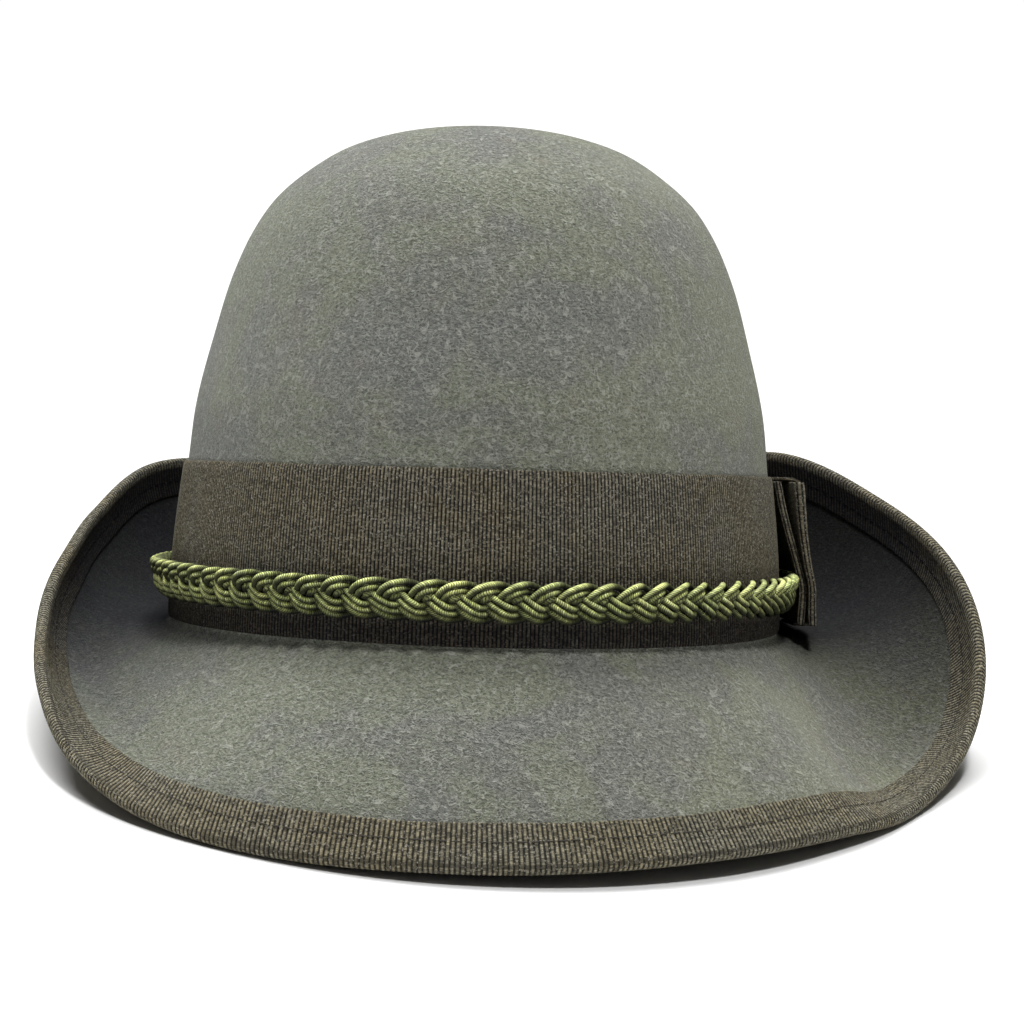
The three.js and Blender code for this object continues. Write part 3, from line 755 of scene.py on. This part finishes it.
def knot_mesh():
    """The strip over the bow's middle, with its ends turned in over the loops' edges"""
    hat, trim = sizes()
    thick, gap = mm(hat.ribbon), mm(hat.clearance)
    middle = mm(trim.bow_length / 2 - trim.bow_lead)
    width, low, high = mm(trim.knot_width), mm(trim.bow_lift), mm(trim.bow_height)
    ribs = round(width / mm(hat.band_rib))
    front = np.linspace(-1, 1, ribs * 4 + 1)
    levels = np.linspace(0, 1, 26)
    face = [(ply_out(3, a) + thick / 2 + gap, low + a * high) for a in levels]
    face[0] = (face[0][0], low - gap)
    face[-1] = (face[-1][0], low + high + gap)
    path = np.array([(ply_out(0, 0), low - gap)] + face + [(ply_out(0, 1), low + high + gap)])
    path = np.concatenate((np.linspace(path[0], path[1], 5)[:-1], path[1:-1], np.linspace(path[-2], path[-1], 5)[1:]))
    for _ in range(2):
        path[1:-1] = path[1:-1] * 0.6 + (path[:-2] + path[2:]) * 0.2
    flow = np.gradient(path, axis=0)
    flow /= np.linalg.norm(flow, axis=1, keepdims=True)
    side = np.concatenate((front, front[::-1]))
    rib = ribbed(np.arange(len(front)) / 4)
    lift = np.concatenate((thick * (0.68 + 0.32 * rib), np.zeros(len(front))))
    ends = np.abs(side) > 0.999
    lift = np.where(ends, np.where(lift > 0, thick * 0.7, thick * 0.1), lift)
    turn = turn_along(middle + side * width / 2)
    rows = [place(turn, crown_width(z + lift * -f[0]), out + lift * f[1], z - lift * f[0]) for (out, z), f in zip(path, flow)]
    count = np.arange(len(side) + 1) / 4
    along = np.arange(len(rows) + 1) * 1.6
    return grid_mesh("bow_strip", np.array(rows), caps=True, across=count, along=along)


class HAT_OT_bow(bpy.types.Operator):
    """Makes the flat bow: two loops and the strip that holds them"""
    bl_idname = "hat.bow"
    bl_label = "Bow"

    def execute(self, context):
        ribbon = material_named("band ribbon")
        for name, inner, inset, node in (("bow_loop_inner", 0, 2, "bow_inner_loop"), ("bow_loop_outer", 2, 0, "bow_outer_loop")):
            mesh = loop_mesh(name, inner, inset, 31 + inner)
            add_piece(name, mesh, ribbon, node, slot="band_ribbon")
        add_piece("bow_strip", knot_mesh(), ribbon, "bow_knot", slot="band_ribbon")
        return {"FINISHED"}


def build_tree(name, inputs, grow):
    """A Geometry Nodes tree with named inputs; grow takes the tree and its inputs and returns the geometry"""
    tree = bpy.data.node_groups.new(name, "GeometryNodeTree")
    tree.interface.new_socket("Geometry", in_out="INPUT", socket_type="NodeSocketGeometry")
    for label, kind in inputs:
        tree.interface.new_socket(label, in_out="INPUT", socket_type=kind)
    tree.interface.new_socket("Geometry", in_out="OUTPUT", socket_type="NodeSocketGeometry")
    entry = {wire.socket.name: wire for wire in add_node(tree, "NodeGroupInput")[:-1]}
    made = grow(tree, entry)
    made = add_node(tree, "GeometryNodeRealizeInstances", None, {0: made})[0]
    made = add_node(tree, "GeometryNodeSetMaterial", None, {"Geometry": made, "Material": entry["Material"]})[0]
    made = add_node(tree, "GeometryNodeSetShadeSmooth", None, {"Geometry": made})[0]
    add_node(tree, "NodeGroupOutput", None, {0: made})
    return tree


def run_tree(mesh, tree, values):
    """The mesh that a Geometry Nodes tree makes of another one"""
    source = bpy.data.objects.new("source", mesh)
    bpy.context.scene.collection.objects.link(source)
    modifier = source.modifiers.new("build", "NODES")
    modifier.node_group = tree
    for item in tree.interface.items_tree:
        if item.in_out == "INPUT" and item.name in values:
            modifier[item.identifier] = values[item.name]
    shown = source.evaluated_get(bpy.context.evaluated_depsgraph_get())
    result = bpy.data.meshes.new_from_object(shown)
    bpy.data.objects.remove(source)
    corners = np.zeros(len(result.vertices) * 3)
    result.vertices.foreach_get("co", corners)
    corners[2::3] = np.maximum(corners[2::3], 0)
    result.vertices.foreach_set("co", corners)
    return result


def grow_cords(tree, entry):
    """Round cords along every line of the mesh, with a count of the wrapping thread's turns and a stored shade that
    paints each cord lighter on top and darker underneath
    """
    path = add_node(tree, "GeometryNodeMeshToCurve", None, {"Mesh": entry["Geometry"]})[0]
    run = add_node(tree, "GeometryNodeSplineParameter")[1]
    caught = add_node(tree, "GeometryNodeCaptureAttribute", {"capture": ("FLOAT", "Run")}, {0: path, 1: run})
    ring = add_node(tree, "GeometryNodeCurvePrimitiveCircle", None, {
        "Resolution": entry["Sides"], "Radius": entry["Radius"]})[0]
    spot = add_node(tree, "GeometryNodeInputPosition")[0]
    across = add_node(tree, "ShaderNodeSeparateXYZ", None, {0: spot})[0]
    side = add_node(tree, "GeometryNodeCaptureAttribute", {"capture": ("FLOAT", "Side")}, {0: ring, 1: across})
    tube = add_node(tree, "GeometryNodeCurveToMesh", None, {0: caught[0], 1: side[0]})[0]
    wrap = caught[1] / entry["Pitch"] + side[1] * 2.2 / entry["Pitch"] * 0.3
    tube = add_node(tree, "GeometryNodeStoreNamedAttribute", {"data_type": "FLOAT", "domain": "POINT"}, {
        "Geometry": tube, "Name": "wrap", "Value": wrap})[0]
    # Painted light: the stored shade keeps a cord's upward-facing side lit and darkens its underside, as if lit from
    # above.
    facing = add_node(tree, "ShaderNodeSeparateXYZ", None, {0: add_node(tree, "GeometryNodeInputNormal")[0]})[2]
    kept = add_node(tree, "GeometryNodeInputNamedAttribute", {"data_type": "FLOAT"}, {"Name": "shade"})[0]
    return add_node(tree, "GeometryNodeStoreNamedAttribute", {"data_type": "FLOAT", "domain": "POINT"}, {
        "Geometry": tube, "Name": "shade", "Value": kept * (0.06 + 0.94 * facing.step(-0.5, 0.95) ** 1.2)})[0]


def strand_lines(strand):
    """The middle lines of the three cords of one strand of the flat plait, and how much light they keep"""
    hat, trim = sizes()
    level, laps, cord = mm(trim.plait_level), trim.plait_turns, mm(trim.cord_width)
    seat = mm(hat.clearance * 2 + hat.ribbon) + mm(trim.plait_thickness) / 2 + 0.15
    steps = laps * 36
    turn, length = even_turns(steps, lambda t: place(t, crown_width(level), seat, level))
    share = np.arange(steps) / steps
    swing = mm(trim.plait_height) / 2 - cord * 1.5
    depth = cord * 0.82
    phase = 2 * math.pi * (laps * share + strand / 3) + 0.16 * drift(share, 40 + strand, (9, 17, 31), 1)
    size = 1 + 0.05 * drift(share, 50 + strand, (11, 23, 41), 1)
    roll = math.radians(13)
    lines, shades = [], []
    for number in (-1, 0, 1):
        apart = number * cord * (1.1 + 0.07 * drift(share, 60 + strand * 3 + number, (13, 29, 57), 1))
        sunk = 0.5 * cord if number < 0 else 0
        skew = phase + 0.45 * np.sin(phase)
        up = swing * size * (np.sin(skew) + 0.06 * np.sin(3 * skew))
        out = depth * np.sin(2 * (phase + 0.3 * np.sin(phase))) - sunk + 0.12 * drift(share, 70 + strand * 3 + number, (19, 37, 61), 1)
        climb = np.gradient(up, length / steps)
        norm = np.hypot(1, climb)
        up = up + apart / norm
        shift = -apart * climb / norm
        z = level + up * math.cos(roll) - out * math.sin(roll)
        off = out * math.cos(roll) + up * math.sin(roll)
        where = np.interp(share * length + shift, np.arange(-steps, 2 * steps) / steps * length,
                          np.concatenate((turn - 2 * math.pi, turn, turn + 2 * math.pi)))
        pressed = 1 - 0.3 * np.exp(-((np.degrees(turn) - 95) / 20) ** 4)
        lines.append(place(where, crown_width(level), seat + off * pressed, z))
        # Painted shade: a cord darkens where it dips in under the other strands, and the half-hidden third cord a
        # little more.
        shades.append((0.16 + 0.84 * ramp(out, -0.7 * depth, 0.55 * depth)) * (0.8 if sunk else 1))
    return lines, shades


def line_mesh(lines, shades=None):
    """Closed lines of points as one mesh of edges"""
    size = len(lines[0])
    corners = laid(np.concatenate(lines))
    edges = [(n * size + i, n * size + (i + 1) % size) for n in range(len(lines)) for i in range(size)]
    mesh = bpy.data.meshes.new("lines")
    mesh.from_pydata(corners.tolist(), edges, [])
    add_shade(mesh, np.ones(len(corners)) if shades is None else shades)
    return mesh


class HAT_OT_cord(bpy.types.Operator):
    """Makes the plaited cord: three strands of three wrapped cords each"""
    bl_idname = "hat.cord"
    bl_label = "Plaited cord"

    def execute(self, context):
        _, trim = sizes()
        tree = build_tree("Wrapped cords", (
            ("Material", "NodeSocketMaterial"), ("Sides", "NodeSocketInt"),
            ("Radius", "NodeSocketFloat"), ("Pitch", "NodeSocketFloat")), grow_cords)
        for strand in range(3):
            mesh = run_tree(line_mesh(*strand_lines(strand)), tree, {
                "Material": material_named("wrapped cord"), "Sides": 12,
                "Radius": trim.cord_width / 2, "Pitch": trim.wrap_pitch})
            add_piece(f"plait_strand_{strand + 1}", mesh, None, "hat_cord", slot="cord")
        return {"FINISHED"}


def grow_stitches(tree, entry):
    """Short capsules of thread along the line, a little uneven"""
    path = add_node(tree, "GeometryNodeMeshToCurve", None, {"Mesh": entry["Geometry"]})[0]
    path = add_node(tree, "GeometryNodeResampleCurve", {"mode": "LENGTH"}, {"Curve": path, "Length": entry["Pitch"]})[0]
    bead = add_node(tree, "GeometryNodeMeshUVSphere", None, {"Segments": 6, "Rings": 5, "Radius": entry["Thread"] / 2})[0]
    stretch = add_node(tree, "ShaderNodeCombineXYZ", None, {0: 1.0, 1: 1.0, 2: entry["Pitch"] / entry["Thread"] * 0.8})[0]
    bead = add_node(tree, "GeometryNodeTransform", None, {"Geometry": bead, "Scale": stretch})[0]
    along = add_node(tree, "GeometryNodeInputTangent")[0]
    jitter = add_node(tree, "FunctionNodeRandomValue", {"data_type": "FLOAT_VECTOR"}, {
        0: (-0.09, -0.09, -0.09), 1: (0.09, 0.09, 0.09), "Seed": entry["Seed"]})[0]
    along = add_node(tree, "ShaderNodeVectorMath", {"operation": "ADD"}, {0: along, 1: jitter})[0]
    turned = add_node(tree, "FunctionNodeAlignRotationToVector", {"axis": "Z"}, {"Vector": along})[0]
    return add_node(tree, "GeometryNodeInstanceOnPoints", None, {
        "Points": path, "Instance": bead, "Rotation": turned})[0]


class HAT_OT_stitches(bpy.types.Operator):
    """Sews the binding on, with a row of stitches on its upper and its lower face"""
    bl_idname = "hat.stitches"
    bl_label = "Stitches"

    def execute(self, context):
        hat, trim = sizes()
        turn = np.linspace(-math.pi, math.pi, 1201)[:-1]
        brim = Brim(turn)
        s = brim.width - mm(trim.stitch_inset) + 0.25 * drift(turn, 90, (4, 9, 15))
        rise = mm(hat.binding_ribbon)
        lines = [brim.point(s, rise), brim.point(s, -mm(hat.felt) - rise)]
        tree = build_tree("Stitches", (
            ("Material", "NodeSocketMaterial"), ("Pitch", "NodeSocketFloat"),
            ("Thread", "NodeSocketFloat"), ("Seed", "NodeSocketInt")), grow_stitches)
        mesh = run_tree(line_mesh(lines), tree, {
            "Material": material_named("sewing thread"), "Pitch": trim.stitch_pitch,
            "Thread": trim.stitch_thread, "Seed": 4})
        # Painted shade: the stitches in the brim's hollow are darkened like the felt there.
        upright = resting_pose().inverted()
        spots = [upright @ corner.co for corner in mesh.vertices]
        add_shade(mesh, 1 - gutter_painted_shade(np.array([math.atan2(spot.x, -spot.y) for spot in spots])))
        add_piece("binding_stitches", mesh, None, slot="binding_ribbon")
        return {"FINISHED"}


class HAT_OT_stage(bpy.types.Operator):
    """Sets the floor, the lights and the camera"""
    bl_idname = "hat.stage"
    bl_label = "Stage"

    def execute(self, context):
        floor = bpy.data.meshes.new("floor")
        rim = [(9 * math.cos(a), 9 * math.sin(a), 0) for a in np.linspace(0, 2 * math.pi, 65)[:-1]]
        floor.from_pydata(rim, [], [tuple(range(64))])
        ground = bpy.data.objects.new("floor", floor)
        context.scene.collection.objects.link(ground)
        pale = bpy.data.materials.new("pale floor")
        pale.use_nodes = True
        shader = pale.node_tree.nodes["Principled BSDF"]
        shader.inputs["Base Color"].default_value = (0.86, 0.86, 0.86, 1)
        shader.inputs["Roughness"].default_value = 0.85
        shader.inputs["Specular IOR Level"].default_value = 0.1
        floor.materials.append(pale)

        world = bpy.data.worlds.new("studio")
        context.scene.world = world
        world.use_nodes = True
        tree = world.node_tree
        tree.nodes.clear()
        seen = add_node(tree, "ShaderNodeLightPath")[0]
        soft = add_node(tree, "ShaderNodeBackground", None, {0: (1, 1, 1), 1: 0.07})[0]
        white = add_node(tree, "ShaderNodeBackground", None, {0: (1, 1, 1), 1: 1.02})[0]
        both = add_node(tree, "ShaderNodeMixShader", None, {0: seen, 1: soft, 2: white})[0]
        add_node(tree, "ShaderNodeOutputWorld", None, {0: both})

        for name, kind, spot, power, more in (
            ("sky", "SUN", (-0.14, 0.4, 1.0), 5.1, {"angle": math.radians(50)}),
            ("front", "SPOT", (0.2, -0.5, 1.85), 118, {
                "spot_size": math.radians(17), "spot_blend": 1.0, "shadow_soft_size": 0.16}),
        ):
            light = bpy.data.lights.new(name, kind)
            light.energy = power
            for key, value in more.items():
                setattr(light, key, value)
            lamp = bpy.data.objects.new(name, light)
            lamp.location = spot
            lamp.rotation_euler = (Vector((0, -0.06, 0.1)) - Vector(spot)).to_track_quat("-Z", "Y").to_euler()
            context.scene.collection.objects.link(lamp)

        lens = bpy.data.cameras.new("camera")
        lens.sensor_width = 36
        lens.lens = 2212 / 1024 * 36
        lens.shift_x = 34 / 1024
        lens.shift_y = -43 / 1024
        camera = bpy.data.objects.new("camera", lens)
        context.scene.collection.objects.link(camera)
        seen = Matrix.Translation((0, -0.65, 0.0456)) @ Matrix.Rotation(math.pi / 2, 4, "X")
        camera.matrix_world = resting_pose() @ seen @ Matrix.Rotation(math.radians(1.63), 4, "Z")
        context.scene.camera = camera
        context.scene.view_settings.view_transform = "Standard"
        return {"FINISHED"}


class HAT_PT_panel(bpy.types.Panel):
    """Lists the hat's sizes, colours and pieces"""
    bl_idname = "HAT_PT_panel"
    bl_label = "Hat"
    bl_space_type = "VIEW_3D"
    bl_region_type = "UI"
    bl_category = "Hat"

    def draw(self, context):
        for group in (context.scene.hat_sizes, context.scene.hat_trim, context.scene.hat_colours):
            box = self.layout.box()
            for key in group.__annotations__:
                box.prop(group, key)
        for operator in OPERATORS:
            self.layout.operator(operator.bl_idname)


OPERATORS = (HAT_OT_felt, HAT_OT_band, HAT_OT_binding, HAT_OT_bow, HAT_OT_cord, HAT_OT_stitches, HAT_OT_stage)
CLASSES = (HatSizes, TrimSizes, HatColours, *OPERATORS, HAT_PT_panel)


def register():
    for cls in CLASSES:
        bpy.utils.register_class(cls)
    bpy.types.Scene.hat_sizes = bpy.props.PointerProperty(type=HatSizes)
    bpy.types.Scene.hat_trim = bpy.props.PointerProperty(type=TrimSizes)
    bpy.types.Scene.hat_colours = bpy.props.PointerProperty(type=HatColours)


def unregister():
    for name in ("hat_sizes", "hat_trim", "hat_colours"):
        delattr(bpy.types.Scene, name)
    for cls in reversed(CLASSES):
        bpy.utils.unregister_class(cls)


def main():
    register()
    bpy.ops.hat.stage()
    bpy.ops.hat.felt()
    bpy.ops.hat.band()
    bpy.ops.hat.binding()
    bpy.ops.hat.bow()
    bpy.ops.hat.cord()
    bpy.ops.hat.stitches()


if __name__ == "__main__":
    main()
